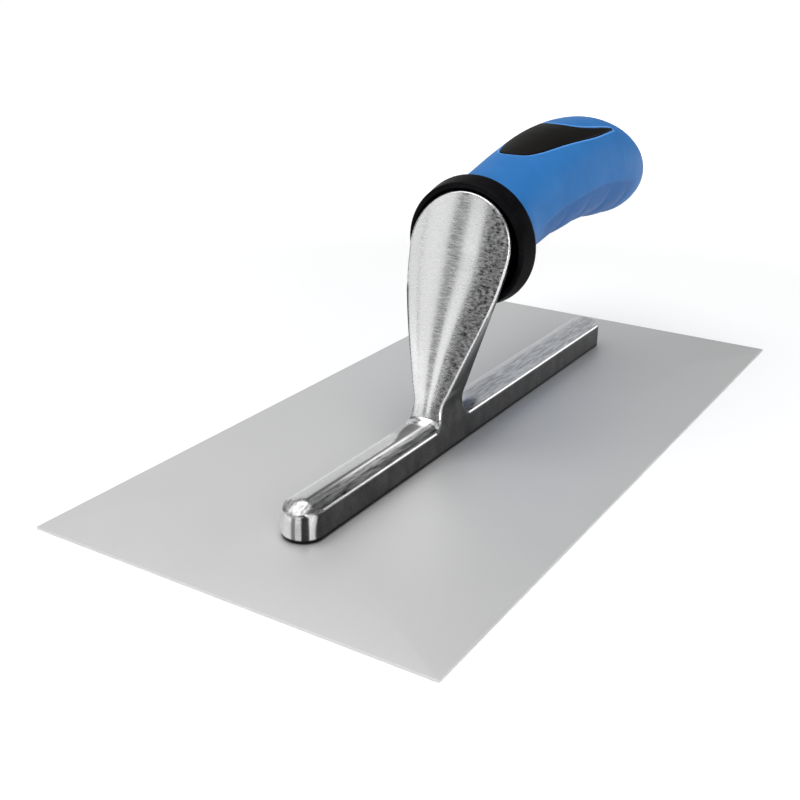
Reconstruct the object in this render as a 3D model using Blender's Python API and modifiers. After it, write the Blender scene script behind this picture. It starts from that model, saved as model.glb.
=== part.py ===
"""Steel finishing trowel: a stainless blade riveted to a die-cast aluminium shank, with a soft grip.

Frame: metres, +Z up. The origin is the centre of the blade's underside, which lies on z = 0. +X runs
from the toe towards the handle's free end, and the trowel is symmetric about the plane y = 0.
"""

import math

import bmesh
import bpy
from mathutils import Matrix, Vector

GAP = 0.0003  # between neighbouring pieces

# Blade: the standard 270 x 130 finishing size in thin sheet
BLADE_LENGTH = 0.270
BLADE_WIDTH = 0.130
BLADE_THICKNESS = 0.0007

# Mounting bar: the casting's foot, flat-sided with a shallow domed top and round ends
BAR_HALF_WIDTH = 0.0064
BAR_FRONT = -0.1032
BAR_REAR = 0.1048
BAR_SHOULDER = 0.0094
BAR_CREST = 0.0123
BAR_BASE = BLADE_THICKNESS + GAP

# Rivets through the blade into the bar
RIVET_COUNT = 8
RIVET_PITCH = 0.026
RIVET_HEAD_RADIUS = 0.0026
RIVET_SHANK_RADIUS = 0.0016
RIVET_LENGTH = 0.0065

# Collar: a dished guard ring. Its axis rises a little towards the handle's free end.
COLLAR_CENTRE = Vector((-0.0082, 0, 0.0643))  # middle of the front lip
COLLAR_TILT = math.radians(4)
COLLAR_LIP_RADIUS = 0.0189
COLLAR_FRONT_RADIUS = 0.0206
COLLAR_RADIUS = 0.0218
COLLAR_DEPTH = 0.0076
COLLAR_FLOOR = 0.0020
COLLAR_HOLE_RADIUS = 0.0092

# Neck and face of the casting. Each row is a level section: height, half width at the front edge,
# x of that edge, half width at the rear, x of the rear.
NECK = (
    (0.0060, 0.0062, -0.0328, 0.0062, -0.0105),
    (0.0094, 0.0062, -0.0325, 0.0062, -0.0122),
    (0.0113, 0.0059, -0.0309, 0.0060, -0.0139),
    (0.0129, 0.0056, -0.0302, 0.0057, -0.0146),
    (0.0163, 0.0051, -0.0291, 0.0053, -0.0142),
    (0.0220, 0.0072, -0.0272, 0.0065, -0.0127),
    (0.0270, 0.0087, -0.0257, 0.0075, -0.0115),
    (0.0318, 0.0103, -0.0242, 0.0085, -0.0104),
    (0.0364, 0.0119, -0.0225, 0.0096, -0.0094),
    (0.0409, 0.0134, -0.0208, 0.0107, -0.0086),
    (0.0455, 0.0148, -0.0192, 0.0118, -0.0080),
    (0.0498, 0.0159, -0.0177, 0.0129, -0.0079),
    (0.0544, 0.0169, -0.0161, 0.0145, -0.0079),
    (0.0590, 0.0176, -0.0144, 0.0160, -0.0079),
)
FACE_BULGE = (0.26, 0.15)  # bulge of the face over its half width, at the foot and at the head
FACE_RIM = 0.0012
FACE_ARC_POINTS = 13

# Head of the casting: the face ends in a round disc that leans back from the blade
HEAD_CENTRE = Vector((-0.0125, 0, 0.0646))
HEAD_LEAN = math.radians(17.5)
HEAD_RADIUS = 0.0181
HEAD_LEVELS = 9
HEAD_BACK_RADIUS = 0.0175

# Tang: a serrated spike inside the handle
TANG_TILT = math.radians(10)
TANG_LENGTH = 0.076
TANG_ROOT_RADIUS = 0.0078
TANG_TIP_RADIUS = 0.0056
TANG_GROOVES = 6
TANG_SERRATED = (0.030, 0.074)
TANG_GROOVE_DEPTH = 0.0006

# Grip: top and bottom of the outside at each station along x, behind the collar
GRIP_FRONT = COLLAR_DEPTH + GAP  # along the collar's axis
GRIP_FRONT_RADIUS = 0.0206
GRIP_STATIONS = (
    (0.0040, 0.0850, 0.0486),
    (0.0100, 0.0866, 0.0522),
    (0.0280, 0.0916, 0.0562),
    (0.0480, 0.0954, 0.0580),
    (0.0680, 0.0963, 0.0586),
    (0.0880, 0.0943, 0.0567),
    (0.1040, 0.0902, 0.0557),
    (0.1280, 0.0800, 0.0585),
)
GRIP_END = 0.1285
GRIP_CAP = 0.0130
GRIP_CAP_POWER = 2.3
GRIP_WIDTH_RATIO = 0.92
SLEEVE_WALL = 0.0030
SECTION_POINTS = 32
STATION_COUNT = 18
CAP_COUNT = 7

# Palm pad: its half outline seen from above, from the nose round the tail tip to the crest
PAD_OUTLINE = (
    (0.0210, 0.0000),
    (0.0226, 0.0041),
    (0.0268, 0.0066),
    (0.0360, 0.0089),
    (0.0510, 0.0111),
    (0.0650, 0.0119),
    (0.0780, 0.0113),
    (0.0838, 0.0106),
    (0.0861, 0.0101),
    (0.0836, 0.0098),
    (0.0770, 0.0096),
    (0.0690, 0.0091),
    (0.0610, 0.0075),
    (0.0560, 0.0046),
    (0.0536, 0.0000),
)
PAD_THICKNESS = 0.0015
PAD_LOW = 0.070

TURN_STEPS = 48
RIVET_STEPS = 20

TROWEL = bpy.data.collections.new("steel_finishing_trowel")
CUTTERS = bpy.data.collections.new("cutters")


def clear_scene():
    for obj in list(bpy.data.objects):
        bpy.data.objects.remove(obj)


def make_material(name, colour, roughness, metallic=0.0):
    material = bpy.data.materials.new(name)
    material.use_nodes = True
    shader = material.node_tree.nodes["Principled BSDF"]
    shader.inputs["Base Color"].default_value = (*colour, 1)
    shader.inputs["Roughness"].default_value = roughness
    shader.inputs["Metallic"].default_value = metallic
    return material


def add_part(obj, material):
    """Puts the object among the trowel's parts, smooth except at its sharp edges."""
    TROWEL.objects.link(obj)
    obj.data.materials.clear()
    obj.data.materials.append(material)
    obj.data.shade_smooth()
    obj.data.set_sharp_from_angle(angle=math.radians(35))


def add_cutter(obj):
    CUTTERS.objects.link(obj)
    obj.hide_render = True
    obj.display_type = "WIRE"
    return obj


def combine(obj, other, operation):
    modifier = obj.modifiers.new(other.name, "BOOLEAN")
    modifier.operation = operation
    modifier.solver = "EXACT"
    modifier.object = other


def loft(name, sections):
    """A closed solid through the sections, which all have the same number of points."""
    mesh = bmesh.new()
    rings = [[mesh.verts.new(point) for point in section] for section in sections]
    count = len(rings[0])
    for low, high in zip(rings, rings[1:]):
        for i in range(count):
            j = (i + 1) % count
            mesh.faces.new((low[i], low[j], high[j], high[i]))
    mesh.faces.new(reversed(rings[0]))
    mesh.faces.new(rings[-1])
    bmesh.ops.recalc_face_normals(mesh, faces=mesh.faces)
    data = bpy.data.meshes.new(name)
    mesh.to_mesh(data)
    mesh.free()
    return bpy.data.objects.new(name, data)


def axis_frame(origin, tilt):
    """Local Z runs along +X, raised by the tilt, and local Y stays along world Y."""
    along = Vector((math.cos(tilt), 0, math.sin(tilt)))
    side = Vector((0, 1, 0))
    rotation = Matrix((side.cross(along), side, along)).transposed().to_4x4()
    return Matrix.Translation(origin) @ rotation


def turned(name, profile, steps, matrix=None, closed=False):
    """Turns a profile of (radius, height) about local Z. It runs down its outer side."""
    data = bpy.data.meshes.new(name)
    edges = [(i, i + 1) for i in range(len(profile) - 1)]
    if closed:
        edges.append((len(profile) - 1, 0))
    data.from_pydata([(radius, 0, height) for radius, height in profile], edges, [])
    source = bpy.data.objects.new(name + "_profile", data)
    bpy.context.scene.collection.objects.link(source)
    screw = source.modifiers.new("turn", "SCREW")
    screw.steps = steps
    screw.render_steps = steps
    screw.use_merge_vertices = True
    screw.merge_threshold = 0.000001
    solid = bake(source, name)
    if matrix is not None:
        solid.matrix_world = matrix
    return solid


def bake(source, name):
    """The object's evaluated shape as a new mesh object, with the source removed."""
    bpy.context.view_layer.update()
    evaluated = source.evaluated_get(bpy.context.evaluated_depsgraph_get())
    data = bpy.data.meshes.new_from_object(evaluated)
    mesh = bmesh.new()
    mesh.from_mesh(data)
    bmesh.ops.remove_doubles(mesh, verts=mesh.verts, dist=0.000001)
    mesh.to_mesh(data)
    mesh.free()
    solid = bpy.data.objects.new(name, data)
    solid.matrix_world = source.matrix_world.copy()
    bpy.data.objects.remove(source)
    data.name = name
    return solid


def extruded_outline(name, outline, low, high, kind="POLY", grow=0.0):
    """A flat outline in XY as a solid from the low height to the high one."""
    curve = bpy.data.curves.new(name + "_outline", "CURVE")
    curve.dimensions = "2D"
    curve.fill_mode = "BOTH"
    curve.resolution_u = 3
    curve.extrude = (high - low) / 2
    curve.offset = grow
    spline = curve.splines.new(kind)
    points = spline.points if kind == "POLY" else spline.bezier_points
    points.add(len(outline) - 1)
    for point, (x, y) in zip(points, outline):
        if kind == "POLY":
            point.co = (x, y, 0, 1)
        else:
            point.co = (x, y, 0)
            point.handle_left_type = "AUTO"
            point.handle_right_type = "AUTO"
    spline.use_cyclic_u = True
    source = bpy.data.objects.new(name + "_outline", curve)
    source.location.z = (low + high) / 2
    bpy.context.scene.collection.objects.link(source)
    return bake(source, name)


def between(rows, value):
    """Reads a table of rows at a value of its first column, on a smooth curve through the rows."""
    count = len(rows)
    k = max(0, min(count - 2, sum(row[0] <= value for row in rows) - 1))
    (a, *first), (b, *second) = rows[k], rows[k + 1]
    before = rows[max(k - 1, 0)]
    after = rows[min(k + 2, count - 1)]
    t = (value - a) / (b - a)
    result = []
    for column, (p, q) in enumerate(zip(first, second), 1):
        start = (q - before[column]) / (b - before[0]) * (b - a)
        end = (after[column] - p) / (after[0] - a) * (b - a)
        result.append(
            p * (2 * t**3 - 3 * t**2 + 1)
            + start * (t**3 - 2 * t**2 + t)
            + q * (3 * t**2 - 2 * t**3)
            + end * (t**3 - t**2)
        )
    return result


# ---------------------------------------------------------------- blade and rivets


def rivet_profile(grow=0.0, below=0.0):
    """A plain shank over a head countersunk in the sheet, run on below the sheet for a cutter."""
    head = RIVET_HEAD_RADIUS + grow
    shank = RIVET_SHANK_RADIUS + grow
    top = RIVET_LENGTH + grow
    profile = [(0, top), (shank, top), (shank, BLADE_THICKNESS), (head, 0)]
    if below:
        profile.append((head, -below))
    return [*profile, (0, -below)]


def rivet_positions():
    first = -RIVET_PITCH * (RIVET_COUNT - 1) / 2
    return [(first + RIVET_PITCH * i, 0, 0) for i in range(RIVET_COUNT)]


def make_rivets(material):
    cutters = []
    for number, position in enumerate(rivet_positions(), 1):
        rivet = turned(f"rivet_{number}", rivet_profile(), RIVET_STEPS)
        rivet.location = position
        add_part(rivet, material)
        hole = turned(f"rivet_hole_{number}", rivet_profile(GAP, 0.001), RIVET_STEPS)
        hole.location = position
        hole.rotation_euler.z = math.pi / RIVET_STEPS
        cutters.append(add_cutter(hole))
    return cutters


def make_blade(material, holes):
    bpy.ops.mesh.primitive_cube_add(size=1, location=(0, 0, BLADE_THICKNESS / 2))
    blade = bpy.context.object
    blade.name = "blade"
    for vertex in blade.data.vertices:
        vertex.co.x *= BLADE_LENGTH
        vertex.co.y *= BLADE_WIDTH
        vertex.co.z *= BLADE_THICKNESS
    for collection in list(blade.users_collection):
        collection.objects.unlink(blade)
    for hole in holes:
        combine(blade, hole, "DIFFERENCE")
    add_part(blade, material)


# ---------------------------------------------------------------- casting


def stadium(front, rear, radius, points=12):
    """Outline of a bar with round ends, counter-clockwise from above."""
    outline = []
    for centre, start in ((rear - radius, -90), (front + radius, 90)):
        for i in range(points + 1):
            angle = math.radians(start + 180 * i / points)
            outline.append((centre + radius * math.cos(angle), radius * math.sin(angle)))
    return outline


def make_bar():
    bar = extruded_outline(
        "shank_casting", stadium(BAR_FRONT, BAR_REAR, BAR_HALF_WIDTH), BAR_BASE, 1.2 * BAR_CREST
    )
    rise = BAR_CREST - BAR_SHOULDER
    dome = (BAR_HALF_WIDTH**2 + rise**2) / (2 * rise)
    straight = BAR_REAR - BAR_FRONT - 2 * BAR_HALF_WIDTH
    quarter = [math.radians(15 * i) for i in range(7)]
    upper = [(dome * math.sin(t), straight + dome * math.cos(t)) for t in quarter]
    lower = [(dome * math.cos(t), -dome * math.sin(t)) for t in quarter]
    place = axis_frame((BAR_FRONT + BAR_HALF_WIDTH, 0, BAR_CREST - dome), 0)
    capsule = turned("bar_dome", upper + lower, TURN_STEPS, place)
    combine(bar, add_cutter(capsule), "INTERSECT")
    return bar


def face_section(height, half, edge, rear_half, rear):
    """A level section of the neck: the bulged face in front and a flat rear behind."""
    low, high = FACE_BULGE
    share = min(1, max(0, (height - NECK[0][0]) / (HEAD_CENTRE.z - NECK[0][0])))
    bulge = half * (low + (high - low) * share)
    section = []
    for i in range(FACE_ARC_POINTS):
        across = 2 * i / (FACE_ARC_POINTS - 1) - 1
        section.append((edge - bulge * (1 - across**2), half * across, height))
    side = [(edge + FACE_RIM, half), (rear, min(rear_half, half + 0.0012))]
    section += [(x, y, height) for x, y in side]
    section += [(x, -y, height) for x, y in reversed(side)]
    return section


def make_neck():
    sections = []
    for (height, *_), (above, *_) in zip(NECK, NECK[1:]):
        sections.append(face_section(height, *between(NECK, height)))
        middle = (height + above) / 2
        sections.append(face_section(middle, *between(NECK, middle)))
    lean = math.tan(HEAD_LEAN)
    for i in range(HEAD_LEVELS + 1):
        angle = math.radians(-10 + 98 * i / HEAD_LEVELS)
        rise = HEAD_RADIUS * math.sin(angle) * math.cos(HEAD_LEAN)
        half = HEAD_RADIUS * math.cos(angle)
        edge = HEAD_CENTRE.x + rise * lean
        rear = max(NECK[-1][4], edge + 2 * FACE_RIM)
        sections.append(face_section(HEAD_CENTRE.z + rise, half, edge, 0.96 * half, rear))
    return loft("neck", sections)


def make_casting(material, holes):
    casting = make_bar()
    combine(casting, add_cutter(make_neck()), "UNION")
    back = COLLAR_DEPTH - COLLAR_FLOOR - GAP
    radius = HEAD_BACK_RADIUS
    disc = [(0, back), (radius, back), (radius, 0.0025), (radius - 0.003, -0.0005), (0, -0.0005)]
    head = turned("head_disc", disc, TURN_STEPS, axis_frame(COLLAR_CENTRE, COLLAR_TILT))
    combine(casting, add_cutter(head), "UNION")
    tang = turned("tang", tang_profile(), TURN_STEPS // 2, axis_frame(COLLAR_CENTRE, TANG_TILT))
    combine(casting, add_cutter(tang), "UNION")
    for hole in holes:
        combine(casting, hole, "DIFFERENCE")
    add_part(casting, material)


def tang_profile(grow=0.0, grooves=TANG_GROOVES):
    """A tapered spike with a blunt tip, from inside the head to its far end."""
    length = TANG_LENGTH + grow
    profile = [(0, length), (TANG_TIP_RADIUS - 0.0015 + grow, length)]
    low, high = TANG_SERRATED
    rows = max(grooves, 1)
    for i in range(rows, -1, -1):
        height = low + (high - low) * i / rows
        radius = TANG_ROOT_RADIUS + (TANG_TIP_RADIUS - TANG_ROOT_RADIUS) * height / TANG_LENGTH + grow
        profile.append((radius, height))
        if i and grooves:
            profile.append((radius - TANG_GROOVE_DEPTH, height - 0.003))
    profile += [(TANG_ROOT_RADIUS + grow, 0.004), (0, 0.004)]
    return profile


# ---------------------------------------------------------------- collar and handle


def make_collar(material):
    floor = COLLAR_DEPTH - COLLAR_FLOOR
    profile = [
        (COLLAR_HOLE_RADIUS, COLLAR_DEPTH),
        (COLLAR_RADIUS - 0.0006, COLLAR_DEPTH),
        (COLLAR_RADIUS, COLLAR_DEPTH - 0.0007),
        (COLLAR_FRONT_RADIUS, 0.0006),
        (COLLAR_FRONT_RADIUS - 0.0006, 0),
        (COLLAR_LIP_RADIUS, 0),
        (COLLAR_LIP_RADIUS - 0.0003, floor),
        (COLLAR_HOLE_RADIUS, floor),
    ]
    place = axis_frame(COLLAR_CENTRE, COLLAR_TILT)
    add_part(turned("collar", profile, TURN_STEPS, place, closed=True), material)


def grip_ring(centre_x, top, bottom, inset, ratio, scale=1.0, lean=0.0):
    half = ((top - bottom) / 2 - inset) * scale
    middle = (top + bottom) / 2
    ring = []
    for i in range(SECTION_POINTS):
        angle = math.tau * (i + 0.5) / SECTION_POINTS
        up = half * math.sin(angle)
        x = centre_x - up * math.sin(lean)
        ring.append((x, ratio * half * math.cos(angle), middle + up * math.cos(lean)))
    return ring


def grip_solid(name, inset, front_extra=0.0):
    """The handle's outside shape, moved inwards by the inset, closed at both ends."""
    along = Vector((math.cos(COLLAR_TILT), 0, math.sin(COLLAR_TILT)))
    rings = []
    for shift in sorted({-front_extra, 0.0}):
        front = COLLAR_CENTRE + along * (GRIP_FRONT + shift)
        edges = (front.z + GRIP_FRONT_RADIUS, front.z - GRIP_FRONT_RADIUS)
        rings.append(grip_ring(front.x, *edges, inset, 1.0, lean=COLLAR_TILT))
    end = GRIP_END - inset
    cap = GRIP_CAP - inset / 2
    start = GRIP_STATIONS[0][0]
    for i in range(STATION_COUNT):
        x = start + (end - cap - start) * i / STATION_COUNT
        share = min(1.0, i / 5)
        ratio = 1.0 + (GRIP_WIDTH_RATIO - 1.0) * share
        rings.append(grip_ring(x, *between(GRIP_STATIONS, x), inset, ratio))
    for i in range(CAP_COUNT):
        t = math.sin(math.radians(84 * i / (CAP_COUNT - 1)))
        scale = math.sqrt(1 - t**GRIP_CAP_POWER)
        x = end - cap + cap * t
        rings.append(grip_ring(x, *between(GRIP_STATIONS, x), inset, GRIP_WIDTH_RATIO, scale))
    return loft(name, rings)


def pad_prism(name, grow):
    other_side = [(x, -y) for x, y in reversed(PAD_OUTLINE[1:-1])]
    return extruded_outline(
        name, list(PAD_OUTLINE) + other_side, PAD_LOW, 0.105, kind="BEZIER", grow=grow
    )


def make_sleeve(material):
    sleeve = grip_solid("grip_sleeve", 0.0)
    combine(sleeve, add_cutter(grip_solid("sleeve_cavity", SLEEVE_WALL, 0.002)), "DIFFERENCE")
    recess = add_cutter(pad_prism("pad_recess", GAP))
    floor = add_cutter(grip_solid("recess_floor", PAD_THICKNESS + GAP))
    combine(recess, floor, "DIFFERENCE")
    combine(sleeve, recess, "DIFFERENCE")
    add_part(sleeve, material)


def make_pad(material):
    pad = pad_prism("palm_pad", 0.0)
    combine(pad, add_cutter(grip_solid("pad_outside", 0.0)), "INTERSECT")
    combine(pad, add_cutter(grip_solid("pad_inside", PAD_THICKNESS)), "DIFFERENCE")
    add_part(pad, material)


def make_core(material):
    core = grip_solid("handle_core", SLEEVE_WALL + GAP)
    place = axis_frame(COLLAR_CENTRE, TANG_TILT)
    socket = turned("tang_socket", tang_profile(GAP, grooves=0), TURN_STEPS // 2, place)
    combine(core, add_cutter(socket), "DIFFERENCE")
    add_part(core, material)


def main():
    clear_scene()
    bpy.context.scene.collection.children.link(TROWEL)
    bpy.context.scene.collection.children.link(CUTTERS)
    steel = make_material("blade_steel", (0.58, 0.58, 0.58), 0.32, 1.0)
    aluminium = make_material("cast_aluminium", (0.62, 0.62, 0.62), 0.28, 1.0)
    rivet_steel = make_material("rivet_steel", (0.50, 0.50, 0.51), 0.35, 1.0)
    black = make_material("black_collar", (0.012, 0.012, 0.013), 0.42)
    core_plastic = make_material("core_plastic", (0.03, 0.03, 0.035), 0.55)
    blue = make_material("blue_grip", (0.045, 0.175, 0.50), 0.50)
    pad_black = make_material("black_pad", (0.010, 0.010, 0.010), 0.50)
    holes = make_rivets(rivet_steel)
    make_blade(steel, holes)
    make_casting(aluminium, holes)
    make_collar(black)
    make_core(core_plastic)
    make_sleeve(blue)
    make_pad(pad_black)


main()
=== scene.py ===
"""Looks of a steel finishing trowel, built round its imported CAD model.

Metres, +Z up, in the CAD's frame: the origin is the centre of the blade's underside and +X runs
from the toe towards the handle's free end. Every CAD node that shows is replaced by a finer piece
of the same size: the casting as a field of distances, the handle as lofted rings, the rest as
turned or bevelled solids. The hidden handle core keeps its CAD mesh.
"""

import math

import bmesh
import bpy
import numpy as np
from mathutils import Euler, Matrix, Vector


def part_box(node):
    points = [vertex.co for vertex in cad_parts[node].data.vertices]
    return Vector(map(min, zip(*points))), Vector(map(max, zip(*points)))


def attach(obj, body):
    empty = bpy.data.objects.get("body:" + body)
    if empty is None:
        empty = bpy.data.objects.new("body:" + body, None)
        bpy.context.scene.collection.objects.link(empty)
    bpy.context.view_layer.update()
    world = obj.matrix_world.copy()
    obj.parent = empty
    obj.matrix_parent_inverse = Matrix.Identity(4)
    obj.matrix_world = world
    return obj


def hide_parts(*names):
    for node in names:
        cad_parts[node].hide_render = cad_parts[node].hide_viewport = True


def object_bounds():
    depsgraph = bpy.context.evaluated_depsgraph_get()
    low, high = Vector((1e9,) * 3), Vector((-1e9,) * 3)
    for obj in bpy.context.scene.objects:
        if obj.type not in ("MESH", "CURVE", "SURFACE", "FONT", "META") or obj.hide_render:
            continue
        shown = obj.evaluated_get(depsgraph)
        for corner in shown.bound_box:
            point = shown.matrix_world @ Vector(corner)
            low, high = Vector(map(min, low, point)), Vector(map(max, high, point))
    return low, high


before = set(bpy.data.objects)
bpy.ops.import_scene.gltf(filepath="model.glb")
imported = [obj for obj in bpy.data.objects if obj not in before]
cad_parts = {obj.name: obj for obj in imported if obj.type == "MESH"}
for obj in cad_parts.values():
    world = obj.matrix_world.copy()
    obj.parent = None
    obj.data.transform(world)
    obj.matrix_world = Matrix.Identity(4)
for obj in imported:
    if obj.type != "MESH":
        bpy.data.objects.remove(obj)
cad_low, cad_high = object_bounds()

MM = 0.001

# ---------------- shapes, as in the CAD

BLADE_LOW, BLADE_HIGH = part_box("blade")
BLADE_TOP = BLADE_HIGH.z
BLADE_EDGE = 0.12 * MM
BLADE_CORNER = 0.5 * MM

CAST_LOW, CAST_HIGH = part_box("shank_casting")
BAR_FRONT = CAST_LOW.x
BAR_REAR = CAST_HIGH.x
BAR_HALF_WIDTH = 6.4 * MM
BAR_DRAFT = 0.008  # how much the bar narrows for each unit of height
BAR_SHOULDER = 9.4 * MM
BAR_CREST = 12.3 * MM
BAR_BASE = BLADE_TOP + 0.12 * MM
BAR_EDGE = 0.45 * MM
BASE_EDGE = 0.5 * MM
TOE_EDGE = 2.5 * MM  # rounding of the bar's front end
TOE_START = BAR_FRONT + 7.5 * MM
TOE_LENGTH = 5 * MM

# Neck of the casting. Each row is a level section: height, half width at the front edge, x of
# that edge, half width at the rear, x of the rear.
NECK_ROWS = (
    (0.0060, 0.0064, -0.0328, 0.0064, -0.0105),
    (0.0094, 0.0063, -0.0325, 0.0063, -0.0122),
    (0.0113, 0.0060, -0.0309, 0.0061, -0.0139),
    (0.0129, 0.0057, -0.0302, 0.0058, -0.0150),
    (0.0163, 0.0053, -0.0291, 0.0054, -0.0152),
    (0.0220, 0.0072, -0.0272, 0.0065, -0.0139),
    (0.0270, 0.0087, -0.0257, 0.0075, -0.0126),
    (0.0318, 0.0103, -0.0242, 0.0085, -0.0114),
    (0.0364, 0.0119, -0.0225, 0.0096, -0.0102),
    (0.0409, 0.0134, -0.0208, 0.0107, -0.0092),
    (0.0455, 0.0148, -0.0192, 0.0118, -0.0083),
    (0.0498, 0.0159, -0.0177, 0.0129, -0.0079),
    (0.0544, 0.0169, -0.0161, 0.0145, -0.0079),
    (0.0590, 0.0176, -0.0144, 0.0160, -0.0079),
)
NECK_EVEN = 0.0163  # above this height the rows follow a smooth curve
FACE_BOW = 1.38 * MM  # how far the face's foot lies before the plane of the head
FACE_BOW_LENGTH = 35 * MM
FACE_BULGE_FOOT = 0.26  # bulge of the face over its half width
FACE_BULGE_HEAD = 0.15
NECK_FILLET = 1.2 * MM
NECK_REAR_EDGE = 0.8 * MM
RIM_EDGE = 0.85 * MM
RIM_START = 10 * MM
RIM_FULL = 19 * MM
HEAD_CENTRE = Vector((-0.0125, 0, 0.0646))
HEAD_LEAN = math.radians(17.5)
HEAD_RADIUS = 18.1 * MM
HEAD_TAPER = 0.33  # how much the head narrows for each unit behind its face
HEAD_BLEND = 7 * MM
HEAD_CROWN = 0.12  # how much the face's middle keeps bulging towards the head's top
FLANK_DRAFT = 0.05
BACK_DISC_RADIUS = 12.5 * MM
BACK_DISC_START = 2.6 * MM
BACK_DISC_END = 5.3 * MM
BACK_DISC_EDGE = 0.4 * MM

# Grid that the casting's surface is read from
GRID_FINE = 0.42 * MM
GRID_COARSE = 1.6 * MM
GRID_MARGIN = 1.5 * MM
GRID_TOE = 9 * MM  # fine for this length at the toe
GRID_REAR = 8 * MM  # and at the bar's rear end
GRID_NECK = (-39 * MM, -1 * MM)

# Zones of the casting's surface, each a pair: where it begins and is full, or its two ends. A
# FACING is a share of the outward normal. The near side is -Y.
NECK_FOOT = (13 * MM, 17 * MM)
FORWARD = 0.3  # the neck's face, unlike its rear, has a normal with less than this along +X
TOP_FACING = 0.3
SIDE_FACING = (0.88, 0.96)
REAR_FACING = (0.45, 0.7)
HEAD_FROM = 46 * MM
HEAD_RIM = (1.6 * MM, 2.6 * MM)  # behind the head's face
# painted dark reflection along the far edge of the face
PAINTED_LIMB_FACING = (0.50, 0.62)
PAINTED_LIMB_PLACE = (0.895, 0.935)  # share of the neck's half width
PAINTED_LIMB_HEIGHTS = (15, 50)  # millimetres
WALL_TILT = (0.25, 0.5)  # upward share of the normal, where an upright wall ends
# painted dark reflections in the first two bands round the toe's wall; the third is where the
# as-cast near side begins
TOE_DARK_REFLECTION = (31, 48)  # bands round the toe's wall, in degrees from the front to the near side
TOE_GREY_REFLECTION = (5, 12)
TOE_SIDE = (61, 67)
# painted dark reflection: a near-black streak on the toe's wall
TOE_PAINTED_STREAK = (34, 45)
TOE_TOP_LENGTH = 7 * MM
TOE_TOP_FACING = (0.12, 0.34)
TOE_TOP_LEVEL = 0.93
# painted dark reflection: a line along the front bar's top, wider towards the neck
PAINTED_LINE_FACING = (0.17, 0.22)
PAINTED_LINE_SPREAD = 0.42
PAINTED_LINE_WIDER = (-54 * MM, -38 * MM)
PAINTED_LINE_START = 6  # millimetres behind the bar's front
PAINTED_LINE_END = -37
# the torn zone is belt wear, and its dark tone is painted shade
WEAR_AND_SHADE_PLACE = (0.42, 0.62)  # share of the neck's half width, on the near side
WEAR_AND_SHADE_END = (0.48, 0.62)
WEAR_AND_SHADE_DOME = (0.34, 0.72)
FOOT_LENGTH = (-44, -36)
FOOT_HEIGHTS = (11.5, 16)
FOOT_FACING = 0.15
REAR_BAR = (-10 * MM, 0)
REAR_DULL_NEAR = (-0.10, 0.72)
REAR_DULL_FAR = (0.05, 0.72)
# painted contact shadow along the joint with the blade
CONTACT_SHADOW_HEIGHTS = (BAR_BASE + 1.0 * MM, BAR_BASE + 1.4 * MM)

COLLAR_CENTRE = Vector((-0.0082, 0, 0.0643))
COLLAR_TILT = math.radians(4)
COLLAR_AXIS = Vector((math.cos(COLLAR_TILT), 0, math.sin(COLLAR_TILT)))
COLLAR_LIP_RADIUS = 18.9 * MM
COLLAR_FRONT_RADIUS = 20.6 * MM
COLLAR_RADIUS = 21.8 * MM
COLLAR_DEPTH = 7.6 * MM
COLLAR_FLOOR = 2.0 * MM
COLLAR_HOLE_RADIUS = 9.2 * MM
COLLAR_STEPS = 192
COLLAR_ARC_STEPS = 7

FLOOR_RADIUS = 2.2
FLOOR_GLOW_REACH = (0.25, 1.25)  # metres from the trowel
FLOOR_GLOW = (0.10, 0.95)
LIGHT_TARGET = Vector((0, 0, 0.05))
ROOM_TINT = (0.96, 0.98, 1.0, 1)
ROOM_RADIANCE = 0.14
BACKDROP_RADIANCE = 1.05
# Area lights: name, azimuth from +X, elevation, angle across, angle high, distance, radiance
LIGHTS = (
    ("overhead", 150, 77, 64, 64, 1.7, 2.35),
    ("behind", 46, 17, 62, 42, 2.0, 0.53),
    ("left_outer", 119.5, 12, 11.5, 50, 2.0, 0.75),
    ("left_inner", 136, 12, 18.5, 50, 2.0, 0.75),
    ("between", 151, 10, 10.5, 48, 2.0, 0.11),
    ("strip", 163, 8, 12, 37, 2.0, 0.90),
    ("rim", 232, 20, 40, 24, 2.0, 3.0),
    ("shoulder", -30, 9, 26, 14, 2.0, 2.2),
    ("crest", -2, 39, 5, 22, 2.0, 1.1),
)

CAMERA_PLACE = (-0.32053, -0.1654, 0.15347)
CAMERA_TURN = (67.990, -0.723, -57.729)  # degrees
CAMERA_SENSOR = 36
CAMERA_LENS = 50.693
CAMERA_SHIFT = 0.02

TANG_TILT = math.radians(10)
TANG_START = 4 * MM
TANG_LENGTH = 76 * MM
TANG_ROOT_RADIUS = 7.8 * MM
TANG_TIP_RADIUS = 5.6 * MM
TANG_BARBS = 6
TANG_BARB_START = 30 * MM
TANG_BARB_PITCH = 7.3 * MM
TANG_BARB_DEPTH = 0.6 * MM
TANG_BARB_LENGTH = 3 * MM
TANG_STEPS = 64

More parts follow.
